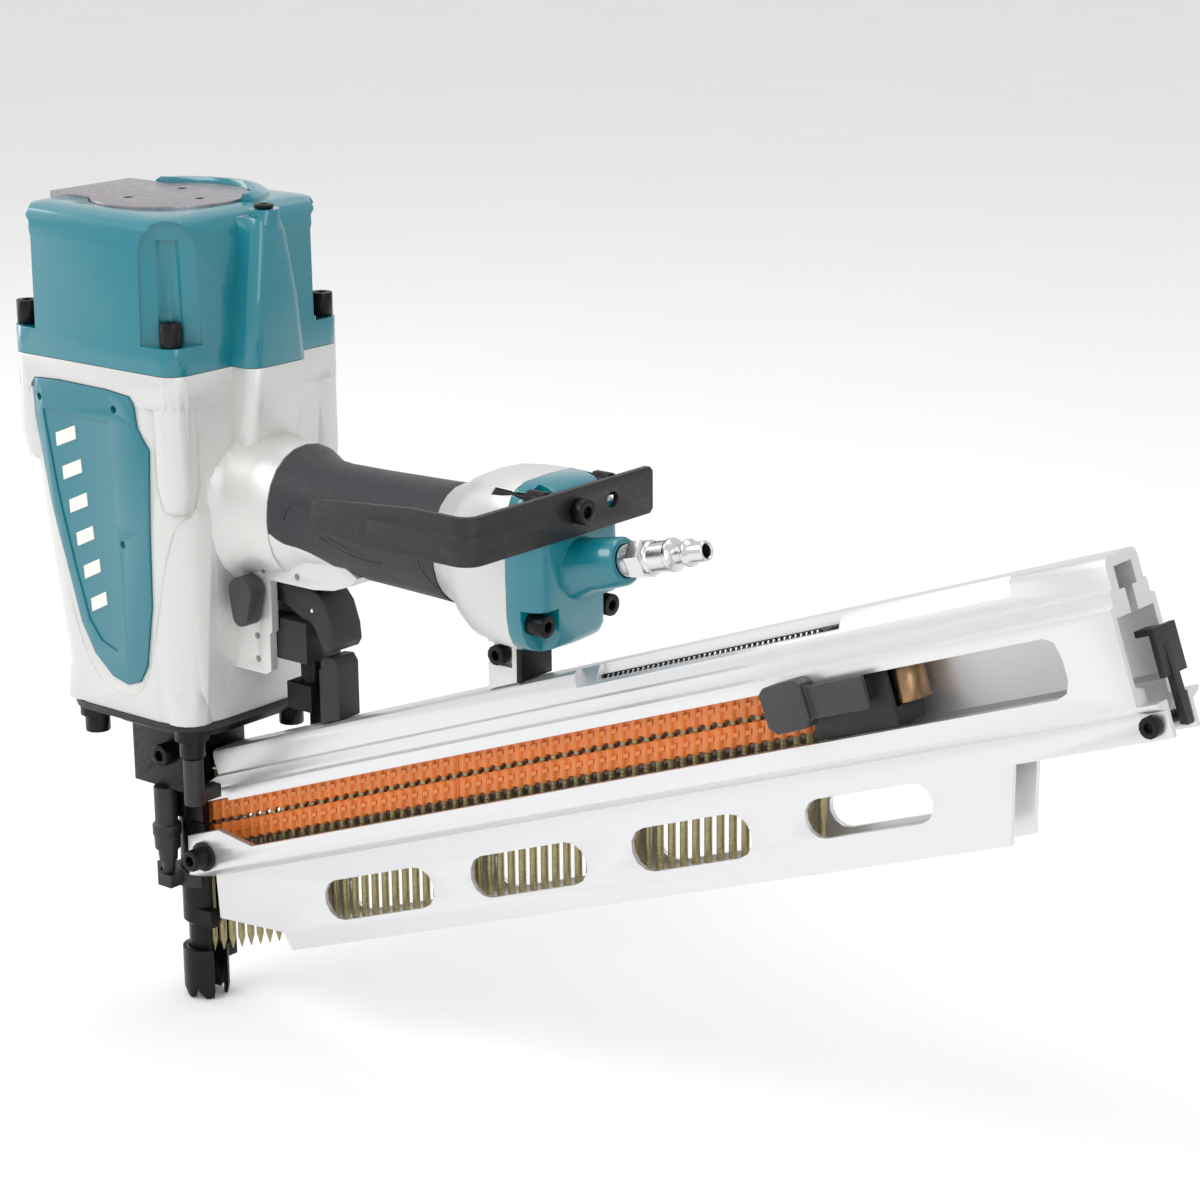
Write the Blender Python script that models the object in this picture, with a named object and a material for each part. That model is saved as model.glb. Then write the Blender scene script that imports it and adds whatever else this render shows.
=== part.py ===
"""Pneumatic framing nailer: head, body and grip, angled magazine, nose, trigger and contact arm.

All lengths below are millimetres, drawn about the drive axis (x = y = 0, z up, x towards the air inlet,
z = 0 at the middle of the cap bolt heads). At the end everything is moved so that the centre of the hand
grip is the origin, and scaled to metres.
"""

import math

import bpy
import numpy as np
from mathutils import Matrix, Vector

# ---------------------------------------------------------------- driving dimensions (mm)
GRIP_CENTRE = (120.0, 0.0, -79.5)  # middle of the hand grip, the origin of the finished object
GAP = 0.3  # clearance between touching pieces

CAP_HALF = 51.0  # half width of the square head cap
CAP_BOTTOM = -17.5
CAP_TOP = 46.9
CAP_FLANGE_TOP = -6.0
CAP_BOLT = 44.5  # cap bolts stand at (+-CAP_BOLT, +-CAP_BOLT)
POCKET_FLAT = 61.0  # distance of the corner flats from the drive axis

BODY_TOP = CAP_BOTTOM - GAP
BODY_BOTTOM = -174.0
BODY_BOTTOM_HALF = 42.0
BORE_R = 37.5
NOSE_BOLT = 30.5  # nose bolts stand at (+-NOSE_BOLT, +-NOSE_BOLT)

GRIP_Z = -79.5
GRIP_CORE = (17.5, 20.8)  # half width and half height of the handle core
GRIP_OUTER = (20.5, 23.6)
FLANGE_FACE_X = 210.7
END_CAP_REAR_X = 226.7
INLET_TILT = math.radians(15)
INLET_END = (250.0, 0.0, -72.8)  # middle of the boss end, where the air plug screws in

TRIGGER_PIVOT = (57.6, 0.0, -113.6)
IDLER_PIN = (84.2, 0.0, -120.6)
WALL_OUT = 14.7
WALL_IN = 10.8

CONTACT_BOTTOM = -320.0
CONTACT_TRAVEL = 10.0
GUIDE_BOTTOM = -144.5
ARM_TOP = GUIDE_BOTTOM - CONTACT_TRAVEL - 0.5  # top of the contact arm's cross piece at rest
NOSEPIECE_BOTTOM = -307.0

MAG_TILT = math.radians(20)
MAG_S0 = -47.0
MAG_S1 = 436.0
MAG_WALL_END = 428.5  # the channel's upper part ends here, the guard at MAG_S1
MAG_TOP = -191.0
MAG_CREASE = -245.5
GUARD_BOTTOM = -286.0
GUARD_END_X = 434.0
WINDOW = (-214.0, -236.0)

NAIL_PITCH = 6.05  # between nails, measured square to them
NAIL_LENGTH = 89.5
NAIL_HEAD_Z = -211.4  # top of the nail that stands on the drive axis
NAIL_COUNT_FRONT = 26
NAIL_COUNT_REAR = 31

PUSHER_S0 = 289.0
PUSHER_S1 = 326.0

# ---------------------------------------------------------------- materials
COLOURS = {
    "teal": (0.0, 0.20, 0.26, 0.0, 0.25),
    "silver": (0.66, 0.66, 0.64, 0.3, 0.4),
    "rubber": (0.05, 0.053, 0.06, 0.0, 0.7),
    "black": (0.02, 0.02, 0.022, 0.3, 0.4),
    "plastic": (0.045, 0.045, 0.05, 0.0, 0.5),
    "aluminium": (0.8, 0.8, 0.81, 0.9, 0.3),
    "steel": (0.7, 0.7, 0.71, 1.0, 0.2),
    "cover": (0.38, 0.37, 0.39, 0.6, 0.35),
    "orange": (0.75, 0.17, 0.04, 0.0, 0.4),
    "bronze": (0.28, 0.15, 0.07, 0.9, 0.35),
    "seal": (0.02, 0.02, 0.02, 0.0, 0.8),
    "cream": (0.7, 0.62, 0.45, 0.0, 0.5),
}


def paint(obj, colour):
    r, g, b, metal, rough = COLOURS[colour]
    mat = bpy.data.materials.new(obj.name + "_" + colour)
    mat.use_nodes = True
    bsdf = mat.node_tree.nodes["Principled BSDF"]
    bsdf.inputs["Base Color"].default_value = (r, g, b, 1.0)
    bsdf.inputs["Metallic"].default_value = metal
    bsdf.inputs["Roughness"].default_value = rough
    mat.diffuse_color = (r, g, b, 1.0)
    obj.data.materials.clear()
    obj.data.materials.append(mat)


# ---------------------------------------------------------------- building blocks
def solid(points, faces, name="piece"):
    mesh = bpy.data.meshes.new(name)
    mesh.from_pydata([tuple(p) for p in points], [], faces)
    mesh.update()
    obj = bpy.data.objects.new(name, mesh)
    bpy.context.scene.collection.objects.link(obj)
    return obj


def combine(base, tool, operation):
    """Joins, cuts or intersects base with tool and removes tool."""
    step = base.modifiers.new("step", "BOOLEAN")
    step.operation = operation
    step.solver = "EXACT"
    step.object = tool
    bpy.context.view_layer.update()
    graph = bpy.context.evaluated_depsgraph_get()
    mesh = bpy.data.meshes.new_from_object(base.evaluated_get(graph))
    base.modifiers.clear()
    old = base.data
    base.data = mesh
    bpy.data.meshes.remove(old)
    bpy.data.objects.remove(tool)
    return base


def add(base, *tools):
    for tool in tools:
        combine(base, tool, "UNION")
    return base


def cut(base, *tools):
    for tool in tools:
        combine(base, tool, "DIFFERENCE")
    return base


def common(base, tool):
    return combine(base, tool, "INTERSECT")


def loft(rings):
    """Closed solid through rings of equal point count, each listed counter-clockwise seen from the end."""
    count = len(rings[0])
    points = [p for ring in rings for p in ring]
    faces = [list(range(count))[::-1]]
    for k in range(len(rings) - 1):
        for i in range(count):
            j = (i + 1) % count
            faces.append([k * count + i, k * count + j, (k + 1) * count + j, (k + 1) * count + i])
    last = (len(rings) - 1) * count
    faces.append([last + i for i in range(count)])
    return outward(solid(points, faces))


def outward(obj):
    """Turns every face outwards."""
    mesh = obj.data
    volume = 0.0
    for poly in mesh.polygons:
        v = [mesh.vertices[i].co for i in poly.vertices]
        for k in range(1, len(v) - 1):
            volume += v[0].dot(v[k].cross(v[k + 1]))
    if volume < 0:
        mesh.flip_normals()
    return obj


def rounded(x0, x1, y0, y1, r, z, n=4):
    """Rounded rectangle in the plane z."""
    ring = []
    for cx, cy, start in ((x1 - r, y1 - r, 0), (x0 + r, y1 - r, 90), (x0 + r, y0 + r, 180), (x1 - r, y0 + r, 270)):
        for k in range(n + 1):
            a = math.radians(start + 90.0 * k / n)
            ring.append((cx + r * math.cos(a), cy + r * math.sin(a), z))
    return ring


def oval(x, zc, a, b, power=2.0, n=24):
    """Superellipse across the x axis: half width a, half height b."""
    ring = []
    for k in range(n):
        t = 2 * math.pi * k / n
        c = math.cos(t)
        s = math.sin(t)
        y = a * math.copysign(abs(c) ** (2.0 / power), c)
        z = zc + b * math.copysign(abs(s) ** (2.0 / power), s)
        ring.append((x, y, z))
    return ring


def box(x0, x1, y0, y1, z0, z1):
    return loft([[(x0, y0, z), (x1, y0, z), (x1, y1, z), (x0, y1, z)] for z in (z0, z1)])


def frame_of(axis):
    """Two directions square to axis."""
    n = Vector(axis).normalized()
    u = n.orthogonal().normalized()
    if abs(n.x) < 1e-9 and abs(n.y) < 1e-9:
        u = Vector((1, 0, 0))
    elif abs(n.z) < 0.99:
        u = Vector((0, 0, 1)).cross(n).normalized()
    return n, u, n.cross(u)


def lathe(origin, axis, profile, seg=24):
    """Solid of revolution. profile: (distance along the axis, radius[, 'hex']) from one end to the other."""
    n, u, v = frame_of(axis)
    o = Vector(origin)
    points = []
    rings = []
    for row in profile:
        t = row[0]
        r = row[1]
        if r < 1e-9:
            rings.append([len(points)])
            points.append(o + n * t)
            continue
        ring = []
        for k in range(seg):
            a = 2 * math.pi * (k + 0.5) / seg
            rk = r * (math.cos(math.pi / 6) if len(row) > 2 and k % 2 else 1.0)
            ring.append(len(points))
            points.append(o + n * t + (u * math.cos(a) + v * math.sin(a)) * rk)
        rings.append(ring)
    faces = []
    for a, b in zip(rings, rings[1:]):
        for k in range(seg):
            j = (k + 1) % seg
            if len(a) == 1 and len(b) == 1:
                continue
            if len(a) == 1:
                faces.append([a[0], b[j], b[k]])
            elif len(b) == 1:
                faces.append([a[k], a[j], b[0]])
            else:
                faces.append([a[k], a[j], b[j], b[k]])
    if len(rings[0]) > 1:
        faces.append(rings[0][::-1])
    if len(rings[-1]) > 1:
        faces.append(rings[-1])
    obj = solid(points, faces)
    return outward(obj)


def cylinder(origin, axis, radius, length, seg=24, end_radius=None):
    top = radius if end_radius is None else end_radius
    return lathe(origin, axis, [(0, radius), (length, top)], seg)


def tube(origin, axis, outer, inner, length, seg=32):
    ring = lathe(origin, axis, [(0, outer), (length, outer)], seg)
    n = Vector(axis).normalized()
    return cut(ring, cylinder(Vector(origin) - n, axis, inner, length + 2, seg))


def slab_y(outline, y0, y1):
    """Outline of (x, z) points extruded across y."""
    return loft([[(x, y, z) for x, z in outline] for y in (y0, y1)])


def mag(s, y, h):
    """Point at s along the magazine, y across it and h square to it."""
    c = math.cos(MAG_TILT)
    t = math.sin(MAG_TILT)
    return (s * c - h * t, y, s * t + h * c)


MAG_ALONG = (math.cos(MAG_TILT), 0.0, math.sin(MAG_TILT))
MAG_UP = (-math.sin(MAG_TILT), 0.0, math.cos(MAG_TILT))


def mag_extrude(section, s0, s1):
    """Section of (y, h) points extruded along the magazine."""
    return loft([[mag(s, y, h) for y, h in section] for s in (s0, s1)])


def mag_slab(outline, y0, y1):
    """Outline of (s, h) points extruded across the magazine."""
    return loft([[mag(s, y, h) for s, h in outline] for y in (y0, y1)])


def stadium(s0, s1, h0, h1, n=6):
    """Slot outline with round ends."""
    r = (h1 - h0) / 2
    hc = (h0 + h1) / 2
    out = []
    for k in range(n + 1):
        a = math.radians(-90 + 180.0 * k / n)
        out.append((s1 - r + r * math.cos(a), hc + r * math.sin(a)))
    for k in range(n + 1):
        a = math.radians(90 + 180.0 * k / n)
        out.append((s0 + r + r * math.cos(a), hc + r * math.sin(a)))
    return out


def socket_bolt(seat, axis, head_r, head_h, shank_r, shank, seg=12):
    """Socket head cap screw: seat is the point under the head, axis points out of the head."""
    deep = head_h * 0.55
    profile = [
        (head_h - deep, 0.0),
        (head_h - deep, head_r * 0.52, "hex"),
        (head_h, head_r * 0.52, "hex"),
        (head_h, head_r),
        (0.0, head_r),
        (0.0, shank_r),
        (-shank, shank_r),
        (-shank, 0.0),
    ]
    return lathe(seat, axis, profile, seg)


def coil(centre, radius, wire, z0, z1, turns, per_turn=14, sides=5):
    """Round wire spring standing along z."""
    count = int(turns * per_turn) + 1
    rings = []
    for k in range(count):
        a = 2 * math.pi * k / per_turn
        f = k / (count - 1)
        z = z0 + wire + (z1 - z0 - 2 * wire) * f
        out = Vector((math.cos(a), math.sin(a), 0))
        mid = Vector((centre[0], centre[1], z)) + out * radius
        rings.append([mid + (out * math.cos(t) + Vector((0, 0, 1)) * math.sin(t)) * wire
                      for t in (2 * math.pi * i / sides for i in range(sides))])
    return loft(rings)


PARTS = {}


def keep(name, obj, colour, pivot=None, smooth=True, angle=32):
    obj.name = name
    obj.data.name = name
    PARTS[name] = (obj, pivot)
    paint(obj, colour)
    if smooth:
        obj.data.shade_smooth()
        obj.data.set_sharp_from_angle(angle=math.radians(angle))
    return obj


def mirror_y(obj):
    """A copy of obj across the middle plane, as its own mesh."""
    mesh = obj.data.copy()
    mesh.transform(Matrix.Diagonal((1, -1, 1, 1)))
    mesh.flip_normals()
    twin = bpy.data.objects.new("twin", mesh)
    bpy.context.scene.collection.objects.link(twin)
    return twin


for old_object in list(bpy.data.objects):
    bpy.data.objects.remove(old_object)

CORNERS = ((-1, -1), (1, -1), (1, 1), (-1, 1))
DIAG = math.sqrt(2)


# ---------------------------------------------------------------- head cap
def build_head_cap():
    levels = ((CAP_BOTTOM, 0), (CAP_FLANGE_TOP, 0), (36.0, 0.6), (41.5, 1.8), (44.6, 4.2), (46.2, 7.5), (CAP_TOP, 11.5))
    rings = []
    for z, inset in levels:
        h = CAP_HALF - inset
        rings.append(rounded(-h, h, -h, h, 9.0, z))
    cap = loft(rings)
    for sx, sy in CORNERS:
        n = Vector((sx, sy, 0)).normalized()
        t = Vector((-n.y, n.x, 0))
        flat = []
        for z, back in ((CAP_FLANGE_TOP, 0.0), (42.0, 0.0), (60.0, 9.0)):
            near = POCKET_FLAT - back
            flat.append([tuple(n * d + t * w + Vector((0, 0, z)))
                         for d, w in ((near, -22), (80, -22), (80, 22), (near, 22))])
        cut(cap, loft(flat))
        pocket = []
        for k in range(7):
            a = math.pi * k / 6
            pocket.append((12.2 * math.cos(a), 33.6 + 12.2 * math.sin(a)))
        pocket += [(-12.8, CAP_FLANGE_TOP), (12.8, CAP_FLANGE_TOP)]
        cut(cap, loft([[tuple(n * d + t * w + Vector((0, 0, z))) for w, z in pocket] for d in (58.4, 75.0)]))
        at = n * CAP_BOLT * DIAG
        cut(cap, cylinder((at.x, at.y, CAP_FLANGE_TOP), (0, 0, 1), 7.0, 44.0, 12))
        cut(cap, cylinder((at.x, at.y, CAP_BOTTOM - 1), (0, 0, 1), 3.1, 14.0, 16))
    bulge = []
    for z, wide, x1 in ((CAP_BOTTOM, 17.0, 64.5), (10.0, 14.0, 64.2), (38.0, 9.5, 63.0), (44.0, 8.0, 61.0)):
        bulge.append(rounded(30, x1, -wide, wide, 6.5, z, 3))
    add(cap, loft(bulge))
    add(cap, cylinder((56.5, 0, 36), (0, 0, 1), 6.6, 11.2, 20))
    cut(cap, cylinder((56.5, 0, 40.0), (0, 0, 1), 3.2, 12, 16))
    wall = []
    for z, grow in ((45.0, 0.0), (48.6, 0.6), (50.2, 2.4)):
        ring = [(43.0 - 1.6 * grow, a) for a in range(14, 159, 16)] + [(35.1 + 0.5 * grow, a) for a in range(158, 13, -16)]
        wall.append([(r * math.cos(math.radians(a)), r * math.sin(math.radians(a)), z) for r, a in ring])
    add(cap, loft(wall))
    cut(cap, cylinder((0, 0, CAP_BOTTOM - 1), (0, 0, 1), 39.2, 40.5, 32))
    cut(cap, cylinder((0, 0, 43.7), (0, 0, 1), 34.9, 12, 36))
    cut(cap, box(-60, 0, -23.9, 23.9, 43.7, 60))
    cut(cap, cylinder((0, 0, 32.5), (0, 0, 1), 30.5, 12, 24))
    cut(cap, box(-60, 0, -19.5, 19.5, 32.5, 50))
    cut(cap, cylinder((0, 0, 20), (0, 0, 1), 9.0, 14, 16))
    for k in range(3):
        x, y = screw_at(k)
        add(cap, cylinder((x, y, 31.5), (0, 0, 1), 5.0, 12.2, 16))
        cut(cap, cylinder((x, y, 35.5), (0, 0, 1), 2.0, 10, 12))
    return cap


def screw_at(k):
    a = math.radians(120 * k)
    return 18.2 * math.cos(a), 18.2 * math.sin(a)


def build_exhaust_cover():
    cover = cylinder((0, 0, 44.0), (0, 0, 1), 34.2, 3.9, 36)
    add(cover, box(-50.5, -20, -23.2, 23.2, 44.0, 47.9))
    add(cover, box(-50.5, -47.5, -19.0, 19.0, 39.0, 45.0))
    for k in range(3):
        x, y = screw_at(k)
        cut(cover, cylinder((x, y, 40), (0, 0, 1), 2.1, 12, 12))
        cut(cover, cylinder((x, y, 45.0), (0, 0, 1), 4.9, 2.7, 16, 7.0))
    return cover


keep("head_cap", build_head_cap(), "teal")
keep("exhaust_cover", build_exhaust_cover(), "cover")
for index in range(3):
    px, py = screw_at(index)
    keep("exhaust_screw_%d" % (index + 1), socket_bolt((px, py, 45.3), (0, 0, 1), 4.0, 2.2, 1.7, 8.9), "black")
for index, (sx, sy) in enumerate(CORNERS):
    bolt = socket_bolt((sx * CAP_BOLT, sy * CAP_BOLT, CAP_FLANGE_TOP + GAP), (0, 0, 1), 4.8, 10.0, 2.7, 26.0)
    keep("cap_bolt_%d" % (index + 1), bolt, "black")
plug_screw = socket_bolt((56.5, 0, 47.5), (0, 0, 1), 4.2, 1.6, 2.8, 6.0)
keep("cap_plug_screw", plug_screw, "black")

# ---------------------------------------------------------------- body casting
BODY_LEVELS = (
    (BODY_TOP, 51.0, 20.0),
    (-42.0, 50.6, 20.0),
    (-85.0, 48.6, 20.0),
    (-133.0, 45.2, 20.0),
    (BODY_BOTTOM, BODY_BOTTOM_HALF, 19.0),
)
BADGE_OUTLINE = (
    (-35.0, -27.5),
    (-37.5, -30.5),
    (-37.0, -45.0),
    (-31.5, -80.0),
    (-25.0, -108.0),
    (-19.5, -135.0),
    (-13.0, -148.5),
    (-3.0, -157.5),
    (6.0, -159.7),
    (14.0, -157.0),
    (19.5, -149.0),
    (26.5, -121.0),
    (33.5, -50.5),
    (27.8, -41.0),
    (26.5, -31.0),
    (24.0, -28.5),
    (10.0, -27.2),
    (-20.0, -26.8),
)


SADDLE = ((30.0, -64.0, 43.0, 17.0), (42.0, -66.0, 39.0, 18.0), (51.0, -71.0, 30.0, 20.0), (58.0, -77.0, 20.0, 22.5))


NECK = ((34.0, -78.0, 38.0, 39.0), (44.0, -79.0, 32.5, 36.0), (54.0, -79.5, 28.0, 32.4), (64.0, -79.5, 25.8, 30.0),
        (76.2, -79.5, 25.0, 29.0))
SLEEVE_ROWS = ((76.5, 24.8, 28.8), (79.0, 24.4, 28.2), (82.5, 22.8, 26.2), (88.0, 21.2, 24.0), (98.0, 20.5, 23.2),
               (118.0, 20.3, 23.4), (140.0, 20.6, 24.0), (158.0, 20.8, 24.5), (165.9, 20.9, 24.9))
SLEEVE_EDGE = ((60.0, -83.0), (77.4, -84.5), (82.7, -88.4), (94.8, -91.0), (107.0, -96.3), (114.0, -99.0),
               (114.0, -130.0), (60.0, -130.0))


def sleeve_outside():
    """Outer shape of the rubber sleeve and of the casting that continues it below."""
    whole = loft([oval(x, GRIP_Z, a, b, 2.15) for x, a, b in SLEEVE_ROWS])
    add(whole, loft([oval(x, z, 12.0, 12.0) for x, z in ((80.0, -91.0), (100.0, -92.6), (118.0, -92.0), (128.0, -88.0))]))
    return whole


def body_shell(grow):
    return loft([rounded(-h - grow, h + grow, -h - grow, h + grow, r + grow, z, 4) for z, h, r in BODY_LEVELS])


def scaled_outline(outline, grow):
    """Outline moved outwards by grow, measured along each corner's bisector."""
    count = len(outline)
    out = []
    for i in range(count):
        p = Vector(outline[i])
        a = (p - Vector(outline[i - 1])).normalized()
        b = (Vector(outline[(i + 1) % count]) - p).normalized()
        na = Vector((-a.y, a.x))
        nb = Vector((-b.y, b.x))
        m = (na + nb).normalized()
        out.append(p - m * grow / max(0.5, m.dot(na)))
    return [tuple(p) for p in out]


def build_body():
    body = body_shell(0.0)
    add(body, loft([rounded(-CAP_HALF, CAP_HALF, -CAP_HALF, CAP_HALF, 9.0, z) for z in (-32.0, BODY_TOP)]))
    for sx, sy in CORNERS:
        drop = 13.0 if sx > 0 else 0.0
        boss = lathe((sx * 41.6, sy * 41.6, -66.0 - drop), (0, 0, 1),
                     [(0, 0.0), (0.6, 4.4), (3.0, 7.2), (14.0, 9.4), (46.0 + drop, 9.4)], 16)
        add(body, boss)
        foot = lathe((sx * 31.5, sy * 31.5, BODY_BOTTOM), (0, 0, 1),
                     [(0, 10.5), (12.0, 9.8), (24.0, 6.2), (32.0, 0.0)], 16)
        add(body, foot)
    bulge = []
    for z, wide, x1 in ((-95.0, 12.0, 50.0), (-60.0, 16.0, 56.0), (-36.0, 17.0, 63.0), (BODY_TOP, 17.0, 64.5)):
        bulge.append(rounded(30, x1, -wide, wide, 6.5, z, 3))
    add(body, loft(bulge))
    core = [oval(x, GRIP_Z, GRIP_CORE[0], GRIP_CORE[1]) for x in (38.0, 60.0, 166.2)]
    for x, a, b, power in ((166.2, 20.6, 24.6, 2.2), (172.5, 21.6, 26.4, 2.3), (179.0, 24.6, 31.0, 2.7),
                           (187.0, 26.7, 34.2, 3.3),
                           (198.0, 27.3, 35.0, 3.8), (FLANGE_FACE_X, 27.3, 35.2, 4.2)):
        core.append(oval(x, -78.6, a, b, power))
    add(body, loft(core))
    neck = loft([oval(x, z, a, b, 2.2) for x, z, a, b in NECK])
    add(body, neck)
    lower = [(x, z - 0.5) for x, z in SLEEVE_EDGE]
    add(body, common(sleeve_outside(), slab_y(lower, -40, 40)))
    add(body, loft([oval(x, z, a, b, 2.3) for x, z, a, b in SADDLE]))
    housing = (
        (36, -85), (104, -92), (118, -99.5), (114, -103.5), (104, -107), (92, -108.6),
        (66.7, -108.6), (66.7, -131.5), (65.2, -133), (65.2, -149.5), (62, -151.5), (36, -151.5),
    )
    add(body, slab_y(housing, -WALL_OUT, WALL_OUT))
    cut(body, box(44.0, 80.0, -WALL_IN, WALL_IN, -160.0, -108.8))
    cut(body, cylinder((0, 0, -168.0), (0, 0, 1), BORE_R, 160.0, 36))
    cut(body, cylinder((0, 0, -180.0), (0, 0, 1), 12.0, 20.0, 20))
    chamber = ((-158.0, 34.0), (-140.0, 36.5), (-100.0, 39.5), (-34.0, 41.5), (-24.0, 36.0))
    cut(body, loft([rounded(-h, h, -h, h, 15.0, z, 3) for z, h in chamber]))
    cut(body, loft([oval(x, GRIP_Z, 13.8, 17.0) for x in (20.0, 215.0)]))
    cut(body, cylinder((85.0, 0, -112.0), (0, 0, 1), 7.0, 22.0, 24))
    for x, z in ((62.4, -104.9), (57.6, -134.9), (57.6, -145.3)):
        cut(body, cylinder((x, -WALL_OUT - 1, z), (0, 1, 0), 1.6, 4.0, 10))
        cut(body, cylinder((x, WALL_OUT + 1, z), (0, -1, 0), 1.6, 4.0, 10))
    for side in (-1, 1):
        cut(body, cylinder((82.8, side * (WALL_OUT + 1), -104.6), (0, -side, 0), 1.6, 3.5, 10))
    cut(body, cylinder((TRIGGER_PIVOT[0], -20, TRIGGER_PIVOT[2]), (0, 1, 0), 2.7, 40.0, 16))
    for sx, sy in CORNERS:
        cut(body, cylinder((sx * CAP_BOLT, sy * CAP_BOLT, -36.0), (0, 0, 1), 3.1, 24.0, 16))
        cut(body, cylinder((sx * NOSE_BOLT, sy * NOSE_BOLT, BODY_BOTTOM - 1), (0, 0, 1), 3.1, 19.0, 16))
    for dy, dz in ((-20, -49.5), (20, -49.5), (-20, -99.5), (20, -99.5)):
        cut(body, cylinder((200.0, dy, dz), (1, 0, 0), 2.8, 20.0, 12))
    for side in (-1, 1):
        recess = slab_y(scaled_outline(BADGE_OUTLINE, GAP), side * 30.0, side * 70.0)
        cut(recess, body_shell(-2.3))
        cut(body, recess)
    return body


def build_badge():
    badge = common(slab_y(BADGE_OUTLINE, -70.0, -30.0), body_shell(1.0))
    cut(badge, body_shell(-2.0))
    inner = [(-30.5, -40.5), (-26.0, -75.0), (-20.0, -108.0), (-14.5, -133.0), (-8.0, -142.0), (1.5, -145.5),
             (6.0, -141.0), (9.0, -120.0), (11.0, -60.0), (11.0, -41.0)]
    sunk = slab_y(inner, -70.0, -30.0)
    cut(sunk, body_shell(0.3))
    cut(badge, sunk)
    for x, z in ((14.8, -35.0), (13.3, -94.6), (-1.5, -151.2), (-32.5, -35.5)):
        cut(badge, cylinder((x, -70, z), (0, 1, 0), 1.7, 22.2, 12))
    return badge


keep("body_housing", build_body(), "silver")
badge_left = build_badge()
badge_right = mirror_y(badge_left)
keep("badge_left", badge_left, "teal")
keep("badge_right", badge_right, "teal")


# ---------------------------------------------------------------- grip, end cap, air plug
def build_grip():
    grip = sleeve_outside()
    cut(grip, loft([oval(x, GRIP_Z, GRIP_CORE[0] + GAP, GRIP_CORE[1] + GAP) for x in (50.0, 175.0)]))
    cut(grip, slab_y(SLEEVE_EDGE, -40, 40))
    housing = ((36, -84.6), (104.2, -91.6), (118.6, -99.2), (118.6, -109), (36, -109))
    cut(grip, slab_y(housing, -WALL_OUT - GAP, WALL_OUT + GAP))
    return grip


def build_end_cap():
    x0 = FLANGE_FACE_X + GAP
    cap = loft([oval(x, z, a, b, p) for x, z, a, b, p in (
        (x0, -78.6, 27.3, 35.2, 4.2), (x0 + 6, -78.4, 26.8, 34.8, 4.2), (x0 + 11, -78.0, 25.8, 33.6, 4.0),
        (x0 + 14, -77.7, 24.2, 31.8, 3.8), (END_CAP_REAR_X, -77.4, 21.6, 29.2, 3.6))])
    for dy, dz in ((-20, -49.5), (20, -49.5), (-20, -99.5), (20, -99.5)):
        sy = math.copysign(1, dy)
        sz = math.copysign(1, dz + 74.5)
        y0, y1 = sorted((dy - sy * 6.3, sy * 40))
        z0, z1 = sorted((dz - sz * 6.3, dz + sz * 40))
        cut(cap, box(x0 + 6.5, 240, y0, y1, z0, z1))
        cut(cap, cylinder((x0 - 1, dy, dz), (1, 0, 0), 2.8, 12, 12))
    a = (math.cos(INLET_TILT), 0, math.sin(INLET_TILT))
    end = Vector(INLET_END)
    start = end - Vector(a) * 36.0
    boss = lathe(start, a, [(0, 13.0), (12, 13.0), (15, 11.8), (20, 10.8), (34.8, 9.7), (36.0, 8.8)], 24)
    cut(boss, box(190, x0 + 4, -30, 30, -130, -40))
    add(cap, boss)
    cut(cap, cylinder(end - Vector(a) * 16.0, a, 6.9, 20, 24))
    inside = loft([oval(x, -78.5, w, h, 2.4) for x, w, h in ((x0 - 1, 13.8, 17.0), (x0 + 9.5, 11.5, 13.0))])
    cut(cap, inside)
    cut(cap, cylinder(end - Vector(a) * 32.0, a, 4.6, 20, 20))
    cut(cap, cylinder((x0 + 4, -5.5, -54.6), (1, 0, 0), 2.9, 20, 12))
    return cap


def build_plug():
    a = (math.cos(INLET_TILT), 0, math.sin(INLET_TILT))
    rows = [(-13.0, 6.5), (4.4, 6.5)]
    rows += [(4.4, 8.3, "hex"), (11.6, 8.3, "hex"), (11.6, 6.3), (12.6, 6.3), (12.6, 7.1), (14.0, 7.1), (14.6, 6.2)]
    rows += [(23.2, 6.2), (23.2, 6.8), (25.0, 6.8), (26.4, 3.9), (30.6, 3.9), (31.6, 5.6), (33.0, 5.6), (34.2, 4.1)]
    rows += [(40.6, 4.1), (40.9, 3.8)]
    plug = lathe(INLET_END, a, rows, 18)
    start = Vector(INLET_END) - Vector(a) * 15
    cut(plug, cylinder(start, a, 2.7, 60, 12))
    return plug


keep("grip_sleeve", build_grip(), "rubber")
keep("end_cap", build_end_cap(), "teal")
for index, (dy, dz) in enumerate(((-20, -49.5), (20, -49.5), (-20, -99.5), (20, -99.5))):
    bolt = socket_bolt((FLANGE_FACE_X + 6.5 + 2 * GAP, dy, dz), (1, 0, 0), 4.6, 8.6, 2.4, 17.0)
    keep("end_cap_bolt_%d" % (index + 1), bolt, "black")
keep("air_plug", build_plug(), "steel")

# ---------------------------------------------------------------- cylinder, head valve, piston
keep("cylinder_liner", tube((0, 0, -167.6), (0, 0, 1), 34.5, 30.6, 149.6, 28), "aluminium")
bumper_ring = tube((0, 0, -166.0), (0, 0, 1), 30.0, 7.5, 17.0, 20)
keep("bumper", bumper_ring, "seal")


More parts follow.
